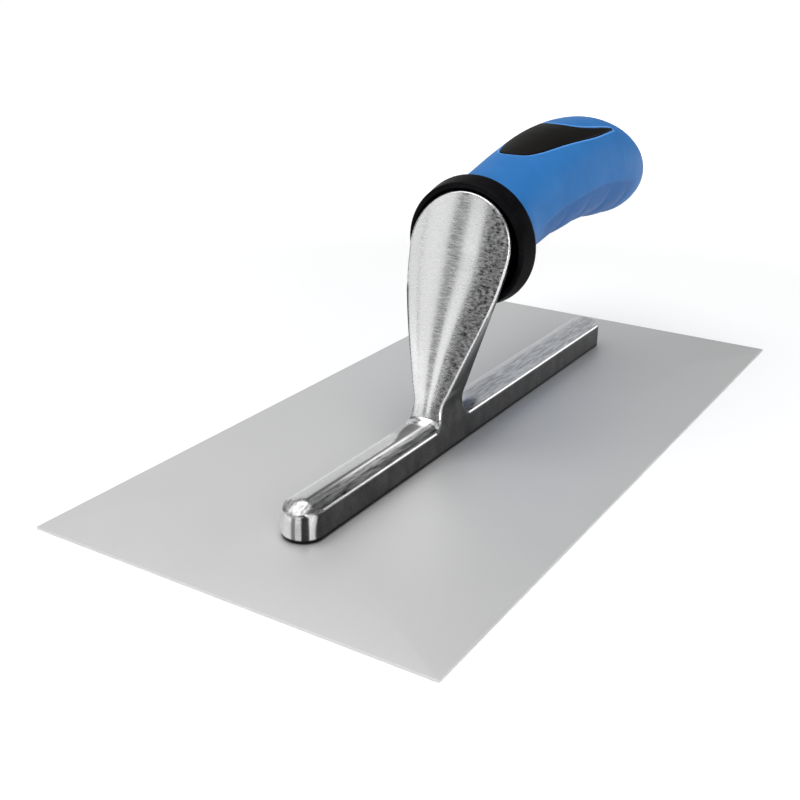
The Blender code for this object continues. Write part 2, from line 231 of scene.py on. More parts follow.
# Handle: top and bottom of the outside at each station along x
GRIP_STATIONS = (
    (0.0040, 0.0850, 0.0486),
    (0.0100, 0.0866, 0.0522),
    (0.0280, 0.0916, 0.0562),
    (0.0480, 0.0954, 0.0580),
    (0.0680, 0.0963, 0.0586),
    (0.0880, 0.0943, 0.0567),
    (0.1040, 0.0902, 0.0557),
    (0.1280, 0.0800, 0.0585),
)
GRIP_FRONT = COLLAR_DEPTH + 0.1 * MM
GRIP_FRONT_RADIUS = 20.6 * MM
GRIP_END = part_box("grip_sleeve")[1].x
GRIP_CAP = 13 * MM
GRIP_CAP_POWER = 2.3
GRIP_WIDTH_RATIO = 0.92
GRIP_WALL = 3 * MM
GRIP_INSET = 0.12 * MM  # the skin lies just inside the CAD's box
GRIP_PAINTED_HIGHLIGHT_WIDTH = 1.3 * MM  # width of the painted highlight along the front edge
GRIP_STEP = 0.55 * MM
GRIP_AROUND = 232
GRIP_FLARE_RINGS = 12
GRIP_FLARE_POWER = 2.2
GRIP_CAP_RINGS = 44
GRIP_NARROWED = 34 * MM  # from here on the width ratio is full
GRIP_INNER_SKIP = 4  # the inside has one ring for this many of the outside

# Finger pillows on the underside of the handle
ZONE_ANGLE = math.radians(11)  # its edge, below the widest line
ZONE_EDGE = math.radians(2.6)
ZONE_DEPTH = 0.30 * MM
ZONE_FRONT = (13 * MM, 24 * MM)
ZONE_REAR = (90 * MM, 106 * MM)
VALLEYS = (37 * MM, 55.5 * MM, 74.5 * MM, 93 * MM)
VALLEY_WIDTH = 2.8 * MM
VALLEY_DEPTH = 0.55 * MM
VALLEY_POWER = 1.6
PILLOW_ANGLE = math.radians(34)
PILLOW_HEIGHT = 0.22 * MM

# Palm pad: half outline from above, from the nose round the tail tip to the crest
PAD_OUTLINE = (
    (0.0210, 0.0000),
    (0.0226, 0.0041),
    (0.0268, 0.0066),
    (0.0360, 0.0089),
    (0.0510, 0.0111),
    (0.0650, 0.0119),
    (0.0780, 0.0113),
    (0.0838, 0.0106),
    (0.0861, 0.0101),
    (0.0836, 0.0098),
    (0.0770, 0.0096),
    (0.0690, 0.0091),
    (0.0610, 0.0075),
    (0.0560, 0.0046),
    (0.0536, 0.0000),
)
PAD_LOW = 75 * MM
PAD_REACH = 3 * MM  # farther than this from the outline, no distance is worked out
PAD_CURVE_STEPS = 12
PAD_REFINE = (0.95 * MM, 0.75 * MM)  # the mesh is halved within each of these, one after another
PAD_THICKNESS = 1.5 * MM
PAD_EDGE = 0.35 * MM
PAD_CLEARANCE = 0.25 * MM  # between the pad's border and the bottom of its edge
RECESS_DEPTH = 1.62 * MM
RECESS_GAP = 0.22 * MM
RECESS_LIP = 0.30 * MM

RIVETS = sorted(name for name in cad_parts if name.startswith("rivet_"))
RIVET_SHANK_RADIUS = 1.6 * MM
RIVET_HEAD_RADIUS = 2.6 * MM
RIVET_JOINT = 0.04 * MM
RIVET_STEPS = 64
CUTTER_BELOW = 1 * MM
CUTTER_TOP = 3 * MM

# ---------------- mesh helpers


def smoothstep(low, high, value):
    t = np.clip((value - low) / (high - low), 0, 1)
    return t * t * (3 - 2 * t)


def hermite(first, start, last, end, t):
    """The place at t, from 0 to 1, on a curve from first to last with those slopes at its ends."""
    return (
        first * (2 * t**3 - 3 * t**2 + 1)
        + start * (t**3 - 2 * t**2 + t)
        + last * (3 * t**2 - 2 * t**3)
        + end * (t**3 - t**2)
    )


def band(value, low, high, soft):
    """One between low and high, fading to zero over the soft width outside them."""
    return smoothstep(low - soft, low, value) * (1 - smoothstep(high, high + soft, value))


def read_table(table, at):
    """The table's other columns at values of its first one, on a smooth curve through its rows."""
    rows = np.array(table)
    knots = rows[:, 0]
    slopes = np.gradient(rows, knots, axis=0)
    at = np.clip(at, knots[0], knots[-1])
    k = np.clip(np.searchsorted(knots, at) - 1, 0, len(knots) - 2)
    step = knots[k + 1] - knots[k]
    t = (at - knots[k]) / step
    columns = []
    for column in range(1, rows.shape[1]):
        p, q = rows[k, column], rows[k + 1, column]
        start, end = slopes[k, column] * step, slopes[k + 1, column] * step
        columns.append(hermite(p, start, q, end, t))
    return columns


def evened(table, start):
    """The table with its rows from the start on moved onto a smooth curve through them."""
    rows = np.array(table)
    upper = rows[:, 0] >= start
    for column in range(1, rows.shape[1]):
        fit = np.polynomial.Polynomial.fit(rows[upper, 0], rows[upper, column], 4)
        rows[upper, column] = fit(rows[upper, 0])
    return rows


def add_piece(name, points, faces, nodes, material):
    """A new piece of the trowel that stands for its CAD nodes."""
    mesh = bpy.data.meshes.new(name)
    mesh.from_pydata(np.asarray(points).tolist(), [], [list(map(int, face)) for face in faces])
    mesh.shade_smooth()
    return add_object(bpy.data.objects.new(name, mesh), nodes, material)


def add_object(obj, nodes, material):
    bpy.context.scene.collection.objects.link(obj)
    obj.data.materials.clear()
    obj.data.materials.append(material)
    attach(obj, "root")
    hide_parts(*nodes)
    return obj


def axis_frame(origin, tilt):
    """Local Z runs along +X, raised by the tilt, and local Y stays along world Y."""
    along = Vector((math.cos(tilt), 0, math.sin(tilt)))
    side = Vector((0, 1, 0))
    rotation = Matrix((side.cross(along), side, along)).transposed().to_4x4()
    return Matrix.Translation(origin) @ rotation


def rounded(corners, arc_steps=6):
    """A profile of (radius, height) whose corners, given with a rounding each, become arcs."""
    profile = []
    count = len(corners)
    for i, (x, y, rounding) in enumerate(corners):
        corner = np.array((x, y))
        if rounding == 0:
            profile.append(corner)
            continue
        before = np.array(corners[i - 1][:2]) - corner
        after = np.array(corners[(i + 1) % count][:2]) - corner
        before /= np.linalg.norm(before)
        after /= np.linalg.norm(after)
        half = math.acos(np.clip(before @ after, -1, 1)) / 2
        middle = (before + after) / np.linalg.norm(before + after)
        centre = corner + middle * rounding / math.sin(half)
        first = corner + before * rounding / math.tan(half) - centre
        last = corner + after * rounding / math.tan(half) - centre
        start = math.atan2(first[1], first[0])
        sweep = math.remainder(math.atan2(last[1], last[0]) - start, math.tau)
        for k in range(arc_steps + 1):
            angle = start + sweep * k / arc_steps
            profile.append(centre + rounding * np.array((math.cos(angle), math.sin(angle))))
    return profile


def turned(profile, steps, matrix):
    """Points and faces of a closed profile turned about the matrix's Z axis."""
    angles = np.arange(steps) * math.tau / steps
    circle = np.stack([np.cos(angles), np.sin(angles), 0 * angles], 1)
    points = np.concatenate([radius * circle + (0, 0, height) for radius, height in profile])
    count = len(profile)
    faces = []
    for k in range(count):
        low, high = k * steps, (k + 1) % count * steps
        for i in range(steps):
            j = (i + 1) % steps
            faces.append((low + i, high + i, high + j, low + j))
    world = np.array(matrix)
    return points @ world[:3, :3].T + world[:3, 3], faces


def cleaned(points, faces):
    """The same shape with doubled points merged and its normals facing out."""
    mesh = bmesh.new()
    verts = [mesh.verts.new(point) for point in points]
    for face in faces:
        mesh.faces.new([verts[i] for i in face])
    bmesh.ops.remove_doubles(mesh, verts=mesh.verts, dist=0.001 * MM)
    bmesh.ops.dissolve_degenerate(mesh, edges=mesh.edges, dist=0.0005 * MM)
    bmesh.ops.recalc_face_normals(mesh, faces=mesh.faces)
    mesh.verts.index_update()
    points = [tuple(vert.co) for vert in mesh.verts]
    faces = [[vert.index for vert in face.verts] for face in mesh.faces]
    mesh.free()
    return points, faces


def skin(field, xs, ys, zs):
    """Points, faces and normals of the surface where the field is zero, from a grid of boxes.

    Each box that the surface crosses gets one point, which then slides onto the surface."""
    sparse = np.meshgrid(xs, ys, zs, indexing="ij", sparse=True)
    value = field(*sparse)
    inside = value < 0
    shape = np.array(value.shape) - 1
    corners = [np.array((i, j, k)) for i in (0, 1) for j in (0, 1) for k in (0, 1)]

    def at(corner):
        return tuple(slice(c, c + n) for c, n in zip(corner, shape))

    filled = sum(inside[at(corner)].astype(np.int8) for corner in corners)
    mixed = (filled > 0) & (filled < len(corners))
    boxes = np.argwhere(mixed)
    number = np.full(mixed.shape, -1)
    number[mixed] = np.arange(len(boxes))

    def place(index):
        return np.stack([xs[index[:, 0]], ys[index[:, 1]], zs[index[:, 2]]], 1)

    total = np.zeros((len(boxes), 3))
    crossings = np.zeros(len(boxes))
    for corner in corners:
        for axis in np.eye(3, dtype=int)[corner == 0]:
            low, high = boxes + corner, boxes + corner + axis
            a, b = value[tuple(low.T)], value[tuple(high.T)]
            cut = (a < 0) != (b < 0)
            share = (a[cut] / (a[cut] - b[cut]))[:, None]
            total[cut] += place(low[cut]) * (1 - share) + place(high[cut]) * share
            crossings[cut] += 1
    points = total / crossings[:, None]

    faces = []
    for axis in range(3):
        u, v = (axis + 1) % 3, (axis + 2) % 3
        trim = [slice(1, -1)] * 3
        trim[axis] = slice(0, -1)
        first = inside[tuple(trim)]
        trim[axis] = slice(1, None)
        edges = np.argwhere(first != inside[tuple(trim)])
        outward = first[tuple(edges.T)]
        step_u, step_v = np.eye(3, dtype=int)[u], np.eye(3, dtype=int)[v]
        base = edges + step_u + step_v
        around = [base, base - step_u, base - step_u - step_v, base - step_v]
        quads = np.stack([number[tuple(box.T)] for box in around], 1)
        faces.append(np.where(outward[:, None], quads, quads[:, ::-1]))
    faces = np.concatenate(faces)

    for _ in range(4):
        slope = gradient(field, points)
        steepness = (slope**2).sum(1)
        move = field(*points.T) / steepness
        points = points - slope * np.clip(move, -0.3 * MM, 0.3 * MM)[:, None]
    slope = gradient(field, points)
    return points, faces, slope / np.linalg.norm(slope, axis=1)[:, None]


def gradient(field, points, step=0.02 * MM):
    slope = np.empty_like(points)
    for axis in range(3):
        shift = step * np.eye(3)[axis]
        slope[:, axis] = field(*(points + shift).T) - field(*(points - shift).T)
    return slope / (2 * step)


def round_max(a, b, rounding):
    """Where two solids overlap, with the edge between them rounded."""
    outer = np.hypot(np.maximum(a + rounding, 0), np.maximum(b + rounding, 0))
    return np.minimum(-rounding, np.maximum(a, b)) + outer


def round_min(a, b, rounding):
    """Two solids joined, with a fillet between them."""
    inner = np.hypot(np.maximum(rounding - a, 0), np.maximum(rounding - b, 0))
    return np.maximum(rounding, np.minimum(a, b)) - inner


# ---------------- materials

STEEL = (0.735, 0.734, 0.730, 1)
COLLAR_SHADES = ((0.0026, 0.0024, 0.0028, 1), (0.0050, 0.0046, 0.0060, 1))
COLLAR_SCUFF = (0.024, 0.022, 0.026, 1)
BLUE_SHADES = ((0.028, 0.163, 0.448, 1), (0.036, 0.188, 0.498, 1))
BLUE_ZONE = (0.026, 0.098, 0.300, 1)
BLUE_HANDLED = (0.070, 0.235, 0.560, 1)
# painted highlight, on the front lip and round the pad
BLUE_PAINTED_HIGHLIGHT = (0.140, 0.400, 0.930, 1)
PAD_SHADES = ((0.0042, 0.0037, 0.0033, 1), (0.0076, 0.0064, 0.0056, 1))
CORE_SHADES = ((0.024, 0.024, 0.028, 1), (0.036, 0.036, 0.041, 1))


class Look:
    """Builds one procedural material. Its coordinates are millimetres in the trowel's frame."""

    def __init__(self, name, **constants):
        self.material = bpy.data.materials.new(name)
        self.material.use_nodes = True
        self.tree = self.material.node_tree
        self.shader = self.tree.nodes["Principled BSDF"]
        for key, value in constants.items():
            self.shader.inputs[key.replace("_", " ")].default_value = value
        self.coordinates = self.add("TexCoord").outputs["Object"]

    def add(self, kind, **inputs):
        node = self.tree.nodes.new("ShaderNode" + kind)
        for key, value in inputs.items():
            self.put(node.inputs[key.replace("_", " ")], value)
        return node

    def put(self, socket, value):
        if isinstance(value, bpy.types.NodeSocket):
            self.tree.links.new(value, socket)
        else:
            socket.default_value = value

    def set(self, key, value):
        self.put(self.shader.inputs[key.replace("_", " ")], value)

    def stretched(self, x=1, y=1, z=1):
        scale = (1000 * x, 1000 * y, 1000 * z)
        return self.add("Mapping", Vector=self.coordinates, Scale=scale).outputs["Vector"]

    def noise(self, size, detail=2.0, roughness=0.5, stretch=(1, 1, 1)):
        """Noise with features of that size in millimetres, from 0 to 1."""
        vector = self.stretched(*stretch)
        node = self.add("TexNoise", Vector=vector, Scale=1 / size, Detail=detail)
        node.inputs["Roughness"].default_value = roughness
        return node.outputs["Fac"]

    def spread(self, value, low, high, out_low=0.0, out_high=1.0):
        """Maps the range from low to high onto the second range, and holds the ends."""
        node = self.add("MapRange")
        for key, number in zip(
            ("From Min", "From Max", "To Min", "To Max"), (low, high, out_low, out_high)
        ):
            node.inputs[key].default_value = number
        self.put(node.inputs["Value"], value)
        return node.outputs["Result"]

    def math(self, operation, first, second=0.0):
        node = self.add("Math")
        node.operation = operation
        self.put(node.inputs[0], first)
        self.put(node.inputs[1], second)
        return node.outputs["Value"]

    def mix(self, share, first, second, kind="RGBA"):
        """Colours, mixed by the share."""
        node = self.add("Mix")
        node.data_type = kind
        self.put(node.inputs["Factor"], share)
        self.put(node.inputs["A"], first)
        self.put(node.inputs["B"], second)
        return node.outputs["Result"]

    def blend(self, share, first, second):
        """Numbers, mixed by the share."""
        return self.mix(share, first, second, "FLOAT")

    def attribute(self, name):
        node = self.add("Attribute")
        node.attribute_name = name
        return node.outputs["Fac"]

    def bump(self, height, depth, strength=1.0, normal=None):
        """Raises the surface by the height, from 0 to 1, times the depth in millimetres."""
        node = self.add("Bump", Height=height, Strength=strength, Distance=depth * MM)
        if normal is not None:
            self.put(node.inputs["Normal"], normal)
        return node.outputs["Normal"]

    def across(self, grain):
        """The direction on the surface that is square to the grain, for the tangent."""
        normal = self.add("NewGeometry").outputs["Normal"]
        node = self.add("VectorMath")
        node.operation = "CROSS_PRODUCT"
        self.put(node.inputs[0], normal)
        self.put(node.inputs[1], grain)
        return node.outputs["Vector"]


def grey(value):
    return (value, value, value, 1)


def steel_look():
    """Satin stainless sheet, brushed along its length."""
    look = Look("blade_steel", Metallic=0.64, Anisotropic=0.35, Specular_IOR_Level=0.3)
    look.set("Tangent", look.across((1, 0, 0)))
    brush = look.noise(0.09, 3, 0.6, stretch=(0.010, 1, 1))
    long_brush = look.noise(0.35, 2, 0.5, stretch=(0.004, 1, 1))
    cloud = look.noise(38, 3, 0.55)
    long_share = look.math("MULTIPLY", long_brush, 0.4)
    streak = look.math("ADD", look.math("MULTIPLY", brush, 0.6), long_share)
    scratch = look.spread(look.noise(0.6, 2, 0.5, stretch=(0.03, 1, 1)), 0.70, 0.78)
    tone = look.spread(streak, 0.3, 0.7, 0.93, 1.0)
    shade = look.math("MULTIPLY", tone, look.spread(cloud, 0.3, 0.7, 0.97, 1.0))
    look.set("Base Color", look.mix(shade, grey(0.40), STEEL))
    rough = look.spread(streak, 0.3, 0.7, 0.52, 0.58)
    rough = look.math("ADD", rough, look.spread(cloud, 0.35, 0.7, 0.0, 0.03))
    look.set("Roughness", look.math("SUBTRACT", rough, look.math("MULTIPLY", scratch, 0.08)))
    height = look.math("SUBTRACT", streak, look.math("MULTIPLY", scratch, 0.3))
    look.set("Normal", look.bump(height, 0.004, 0.5))
    return look.material


def casting_look():
    """Aluminium: ground on the face and the top, torn by the belt on the near side, duller on the
    rear bar, as cast elsewhere. The torn zone's dark tone is painted shade, the toe, the bar's
    top and the face's far edge carry painted dark reflections, and a painted contact shadow
    runs along the blade. The zones are the attributes that casting_zones stores."""
    look = Look("cast_aluminium", Anisotropic=0.7)
    face = look.attribute("face")
    side = look.attribute("side")
    wear_and_painted_shade = look.attribute("wear_and_painted_shade")
    dull = look.attribute("dull")
    # the face is ground across the neck, the bar along its length
    tangents = look.across((1, 0, 0)), look.across((0, 1, 0))
    look.set("Tangent", look.mix(face, *tangents, "VECTOR"))
    across = look.noise(0.24, 3, 0.65, stretch=(1, 0.07, 1))
    along = look.noise(0.16, 3, 0.6, stretch=(0.04, 1, 1))
    ground = look.blend(face, along, across)
    face_tears = look.noise(0.7, 4, 0.7, stretch=(1, 0.5, 1))
    bar_tears = look.noise(0.8, 4, 0.65, stretch=(0.10, 1, 1))
    tears = look.blend(face, bar_tears, face_tears)
    cast = look.noise(0.5, 5, 0.65)
    smears = look.noise(4.2, 4, 0.6, stretch=(1, 1, 0.7))
    smooth_tone = look.mix(look.spread(ground, 0.3, 0.7), grey(0.74), grey(0.86))
    # painted shade: the torn zone's dark tone
    painted_dark_wear_tone = look.mix(look.spread(tears, 0.34, 0.68), grey(0.07), grey(0.56))
    metal = look.mix(wear_and_painted_shade, smooth_tone, painted_dark_wear_tone)
    dull_tone = look.mix(look.spread(bar_tears, 0.34, 0.66), grey(0.34), grey(0.76))
    metal = look.mix(dull, metal, dull_tone)
    cast_share = look.math("MULTIPLY", cast, 0.45)
    mottle = look.math("ADD", look.math("MULTIPLY", smears, 0.55), cast_share)
    skin_tone = look.mix(look.spread(mottle, 0.36, 0.64), grey(0.042), grey(0.128))
    # the dark skin tone: the real as-cast skin, and painted dark reflections on the toe, the bar's
    # top and the face's far edge
    tone = look.mix(side, metal, skin_tone)
    # painted shade: near black along the joint with the blade and in a streak on the toe
    look.set("Base Color", look.mix(look.attribute("painted_shade"), tone, grey(0.012)))
    look.set("Metallic", look.spread(dull, 0, 1, 1.0, 0.08))  # the dull zone is barely metallic
    smooth_rough = look.spread(ground, 0.32, 0.68, 0.13, 0.31)
    torn_rough = look.spread(tears, 0.35, 0.65, 0.26, 0.40)
    rough = look.blend(wear_and_painted_shade, smooth_rough, torn_rough)
    rough = look.blend(dull, rough, look.spread(bar_tears, 0.35, 0.65, 0.44, 0.54))
    look.set("Roughness", look.blend(side, rough, look.spread(smears, 0.3, 0.7, 0.42, 0.52)))
    fine = look.bump(look.blend(side, ground, cast), 0.012, 0.48)
    gouges = look.blend(wear_and_painted_shade, 0.5, tears)
    look.set("Normal", look.bump(gouges, 0.020, 0.4, fine))
    return look.material


def rivet_look():
    look = Look("rivet_steel", Metallic=1.0, Anisotropic=0.4)
    brush = look.noise(0.12, 3, 0.6, stretch=(0.03, 1, 1))
    spots = look.noise(0.8, 3, 0.6)
    look.set("Base Color", look.mix(look.spread(brush, 0.3, 0.7), grey(0.42), grey(0.58)))
    look.set("Roughness", look.spread(spots, 0.3, 0.7, 0.30, 0.44))
    look.set("Normal", look.bump(brush, 0.005, 0.5))
    return look.material


def collar_look():
    look = Look("black_collar", Specular_IOR_Level=0.03)
    grain = look.noise(0.16, 3, 0.6)
    cloud = look.noise(7, 3, 0.6)
    scuff = look.spread(look.noise(1.1, 3, 0.6, stretch=(1, 0.3, 1)), 0.60, 0.74)
    dark = look.mix(look.spread(cloud, 0.3, 0.7), *COLLAR_SHADES)
    look.set("Base Color", look.mix(look.math("MULTIPLY", scuff, 0.25), dark, COLLAR_SCUFF))
    rough = look.spread(cloud, 0.3, 0.7, 0.34, 0.42)
    look.set("Roughness", look.math("ADD", rough, look.math("MULTIPLY", scuff, 0.08)))
    look.set("Normal", look.bump(grain, 0.010, 0.45))
    return look.material


def grip_look():
    look = Look("blue_grip", Specular_IOR_Level=0.06)
    grain = look.noise(0.20, 3, 0.6)
    cloud = look.noise(13, 3, 0.55)
    fine = look.noise(2.2, 3, 0.6)
    zone = look.attribute("zone")
    edge = look.attribute("edge")
    blue = look.mix(look.spread(cloud, 0.32, 0.68), *BLUE_SHADES)
    blue = look.mix(look.math("MULTIPLY", zone, 0.55), blue, BLUE_ZONE)
    handled = look.math("MULTIPLY", look.spread(fine, 0.5, 0.75), 0.10)
    blue = look.mix(handled, blue, BLUE_HANDLED)
    # painted highlight: paler blue on the front lip and round the pad
    look.set("Base Color", look.mix(look.math("MULTIPLY", edge, 0.85), blue, BLUE_PAINTED_HIGHLIGHT))
    look.set("Roughness", look.spread(fine, 0.3, 0.7, 0.42, 0.52))
    look.set("Normal", look.bump(grain, 0.012, 0.5))
    return look.material


def pad_look():
    look = Look("black_pad", Specular_IOR_Level=0.06)
    grain = look.noise(0.24, 3, 0.65)
    cloud = look.noise(9, 3, 0.55)
    look.set("Base Color", look.mix(look.spread(cloud, 0.3, 0.7), *PAD_SHADES))
    look.set("Roughness", look.spread(cloud, 0.3, 0.7, 0.46, 0.56))
    look.set("Normal", look.bump(grain, 0.016, 0.5))
    return look.material


def core_look():
    look = Look("core_plastic")
    cloud = look.noise(3, 3, 0.6)
    look.set("Base Color", look.mix(cloud, *CORE_SHADES))
    look.set("Roughness", look.spread(cloud, 0.3, 0.7, 0.5, 0.62))
    look.set("Normal", look.bump(look.noise(0.3, 3, 0.6), 0.02, 0.5))
    return look.material


def floor_look():
    """White paper that glows more with distance from the trowel, where the lights don't reach."""
    look = Look("floor_paper", Emission_Color=(1, 1, 1, 1))
    cloud = look.noise(240, 2, 0.5)
    fibre = look.noise(0.9, 3, 0.6)
    look.set("Base Color", look.mix(look.spread(cloud, 0.3, 0.7), grey(0.90), grey(0.915)))
    look.set("Roughness", look.spread(fibre, 0.3, 0.7, 0.75, 0.85))
    look.set("Normal", look.bump(fibre, 0.01, 0.3))
    away = look.add("VectorMath")
    away.operation = "LENGTH"
    look.put(away.inputs[0], look.coordinates)
    glow = look.spread(away.outputs["Value"], *FLOOR_GLOW_REACH, *FLOOR_GLOW)
    look.set("Emission Strength", glow)
    return look.material


# ---------------- blade and rivets


def rivet_places():
    """The rivets' centres in plan and their tops, from their CAD nodes."""
    places = []
    for name in RIVETS:
        low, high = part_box(name)
        places.append(((low.x + high.x) / 2, (low.y + high.y) / 2, high.z))
    return places


def rivet_profile(grow, top):
    """A rivet's outline, grown by that much, from its top down to its flat head's rim."""
    shank = RIVET_SHANK_RADIUS + grow
    return [(0, top), (shank, top), (shank, BLADE_TOP), (RIVET_HEAD_RADIUS + grow, 0)]


def make_rivets(material):
    for name, (x, y, top) in zip(RIVETS, rivet_places()):
        place = Matrix.Translation((x, y, 0))
        profile = rivet_profile(0, top) + [(0, 0)]
        points, faces = cleaned(*turned(profile, RIVET_STEPS, place))
        piece = add_piece(f"{name}_steel", points, faces, [name], material)
        piece.data.set_sharp_from_angle(angle=math.radians(30))


def make_blade(material):
    """A sheet with eased edges and the rivets' countersunk holes."""
    mesh = bmesh.new()
    bmesh.ops.create_cube(mesh, size=1)
    size = BLADE_HIGH - BLADE_LOW
    bmesh.ops.scale(mesh, vec=size, verts=mesh.verts)
    bmesh.ops.translate(mesh, vec=(BLADE_LOW + BLADE_HIGH) / 2, verts=mesh.verts)
    upright = [e for e in mesh.edges if abs(e.verts[0].co.z - e.verts[1].co.z) > size.z / 2]
    soft = {"profile": 0.5, "affect": "EDGES"}
    bmesh.ops.bevel(mesh, geom=upright, offset=BLADE_CORNER, segments=5, **soft)
    rim = [e for e in mesh.edges if abs(e.verts[0].co.z - e.verts[1].co.z) < size.z / 2]
    bmesh.ops.bevel(mesh, geom=rim, offset=BLADE_EDGE, segments=3, **soft)
    data = bpy.data.meshes.new("blade_sheet")
    mesh.to_mesh(data)
    mesh.free()
    sheet = bpy.data.objects.new("blade_sheet", data)
    add_object(sheet, ["blade"], material)
    cutters = []
    for x, y, _ in rivet_places():
        radius = RIVET_HEAD_RADIUS + RIVET_JOINT
        profile = rivet_profile(RIVET_JOINT, CUTTER_TOP)
        profile += [(radius, -CUTTER_BELOW), (0, -CUTTER_BELOW)]
        half_step = Matrix.Rotation(math.pi / RIVET_STEPS, 4, "Z")
        place = Matrix.Translation((x, y, 0)) @ half_step
        points, faces = cleaned(*turned(profile, RIVET_STEPS, place))
        cutter = bpy.data.meshes.new("rivet_hole")
        cutter.from_pydata(points, [], faces)
        cutters.append(bpy.data.objects.new("rivet_hole", cutter))
    cut_holes(sheet, cutters)
    data = sheet.data
    data.shade_smooth()
    data.set_sharp_from_angle(angle=math.radians(20))


def cut_holes(obj, cutters):
    for cutter in cutters:
        bpy.context.scene.collection.objects.link(cutter)
        modifier = obj.modifiers.new("hole", "BOOLEAN")
        modifier.operation = "DIFFERENCE"
        modifier.solver = "EXACT"
        modifier.object = cutter
    bpy.context.view_layer.update()
    evaluated = obj.evaluated_get(bpy.context.evaluated_depsgraph_get())
    data = bpy.data.meshes.new_from_object(evaluated)
    obj.modifiers.clear()
    obj.data = data
    for cutter in cutters:
        bpy.data.objects.remove(cutter)


# ---------------- casting


NECK = evened(NECK_ROWS, NECK_EVEN)


def leaning(x, z, centre, lean):
    """Distances along and above an axis through the centre that points down by the lean."""
    x, z = x - centre.x, z - centre.z
    return x * math.cos(lean) - z * math.sin(lean), x * math.sin(lean) + z * math.cos(lean)


def casting_field(x, y, z):
    """Below zero inside the bar, the neck and the head. Near the surface it is a distance."""
    side_y = np.abs(y)

    # bar: a capsule's dome over flat sides
    rise = BAR_CREST - BAR_SHOULDER
    dome_radius = (BAR_HALF_WIDTH**2 + rise**2) / (2 * rise)
    middle = (BAR_FRONT + BAR_REAR) / 2
    straight = (BAR_REAR - BAR_FRONT) / 2 - BAR_HALF_WIDTH
    beyond = np.maximum(np.abs(x - middle) - straight, 0)
    plan = np.hypot(beyond, y)
    dome = np.hypot(plan, z - (BAR_CREST - dome_radius)) - dome_radius

    # neck: a slab between the bulged face and the rear
    width, edge, rear_width, rear = read_table(NECK, z)
    lean = math.tan(HEAD_LEAN)
    plane = HEAD_CENTRE.x + (z - HEAD_CENTRE.z) * lean
    plane = plane - FACE_BOW * smoothstep(0, FACE_BOW_LENGTH, HEAD_CENTRE.z - z)
    on_plane = smoothstep(NECK_EVEN - 1 * MM, NECK_EVEN + 2 * MM, z)
    edge = edge * (1 - on_plane) + plane * on_plane
    share = np.clip((z - NECK[0][0]) / (HEAD_CENTRE.z - NECK[0][0]), 0, 1)
    bulge = width * (FACE_BULGE_FOOT + (FACE_BULGE_HEAD - FACE_BULGE_FOOT) * share)
    up = (z - HEAD_CENTRE.z) / math.cos(HEAD_LEAN)
    crown = HEAD_CROWN * np.maximum(up / HEAD_RADIUS, 0) ** 2
    across = np.minimum((side_y / width) ** 2, 1.4)
    front = edge - bulge * (1 - across - crown)
    tilt = np.hypot(1, 2 * bulge * side_y / width**2)
    face = (front - x) * math.cos(HEAD_LEAN) / tilt
    neck = round_max(face, x - rear, NECK_REAR_EDGE)

    # outline: the neck's sides, which run on down into the bar's, and the round head
    behind = np.clip((x - edge) / (rear - edge), 0, 1)
    flank = side_y - (width + (rear_width - width) * behind)
    flank = flank * (1 - FLANK_DRAFT * share)
    back, rise_in_plane = leaning(x, z, HEAD_CENTRE, HEAD_LEAN)
    radius = HEAD_RADIUS - HEAD_TAPER * np.maximum(back, 0)
    disc = np.hypot(y, np.maximum(rise_in_plane, 0)) - radius
    on_head = smoothstep(-HEAD_BLEND, 0, rise_in_plane)
    outline = flank * (1 - on_head) + disc * on_head
    sides = plan - (BAR_HALF_WIDTH + (BAR_SHOULDER - z) * BAR_DRAFT)
    on_bar = 1 - smoothstep(BAR_SHOULDER - 1 * MM, BAR_SHOULDER + 1 * MM, z)
    outline = sides * on_bar + np.maximum(outline, plan - HEAD_RADIUS * 2) * (1 - on_bar)

    top = round_min(dome, neck, NECK_FILLET)
    rounding = BAR_EDGE + (RIM_EDGE - BAR_EDGE) * smoothstep(RIM_START, RIM_FULL, z)
    toe = 1 - smoothstep(TOE_START - TOE_LENGTH, TOE_START, x)
    rounding = rounding + (TOE_EDGE - BAR_EDGE) * toe
    solid = round_max(top, outline, rounding)

    # the disc behind the head, inside the collar
    depth, height = leaning(x, z, COLLAR_CENTRE, -COLLAR_TILT)
    barrel = np.hypot(y, height) - BACK_DISC_RADIUS
    disc_middle = (BACK_DISC_START + BACK_DISC_END) / 2
    disc_half = (BACK_DISC_END - BACK_DISC_START) / 2
    disc = round_max(barrel, np.abs(depth - disc_middle) - disc_half, BACK_DISC_EDGE)
    solid = np.minimum(solid, disc)
    return round_max(solid, BAR_BASE - z, BASE_EDGE)


def grid_line(*stretches):
    """Grid places from (start, end, step) stretches that follow one another."""
    parts = []
    for start, end, step in stretches:
        parts.append(np.linspace(start, end, max(2, round((end - start) / step)) + 1)[:-1])
    parts.append([stretches[-1][1]])
    return np.concatenate(parts)


def tang_mesh():
    """A tapered spike with barbs, inside the handle core."""
    profile = [(0, TANG_LENGTH, 0), (TANG_TIP_RADIUS - 1.5 * MM, TANG_LENGTH, 0)]
    for i in range(TANG_BARBS, -1, -1):
        height = TANG_BARB_START + TANG_BARB_PITCH * i
        share = height / TANG_LENGTH
        radius = TANG_ROOT_RADIUS + (TANG_TIP_RADIUS - TANG_ROOT_RADIUS) * share
        profile.append((radius, height, 0.15 * MM))
        if i:
            valley = (radius - TANG_BARB_DEPTH, height - TANG_BARB_LENGTH, 0.3 * MM)
            profile.append(valley)
    profile += [(TANG_ROOT_RADIUS, TANG_START, 0), (0, TANG_START, 0)]
    place = axis_frame(COLLAR_CENTRE, TANG_TILT)
    return cleaned(*turned(rounded(profile, 3), TANG_STEPS, place))


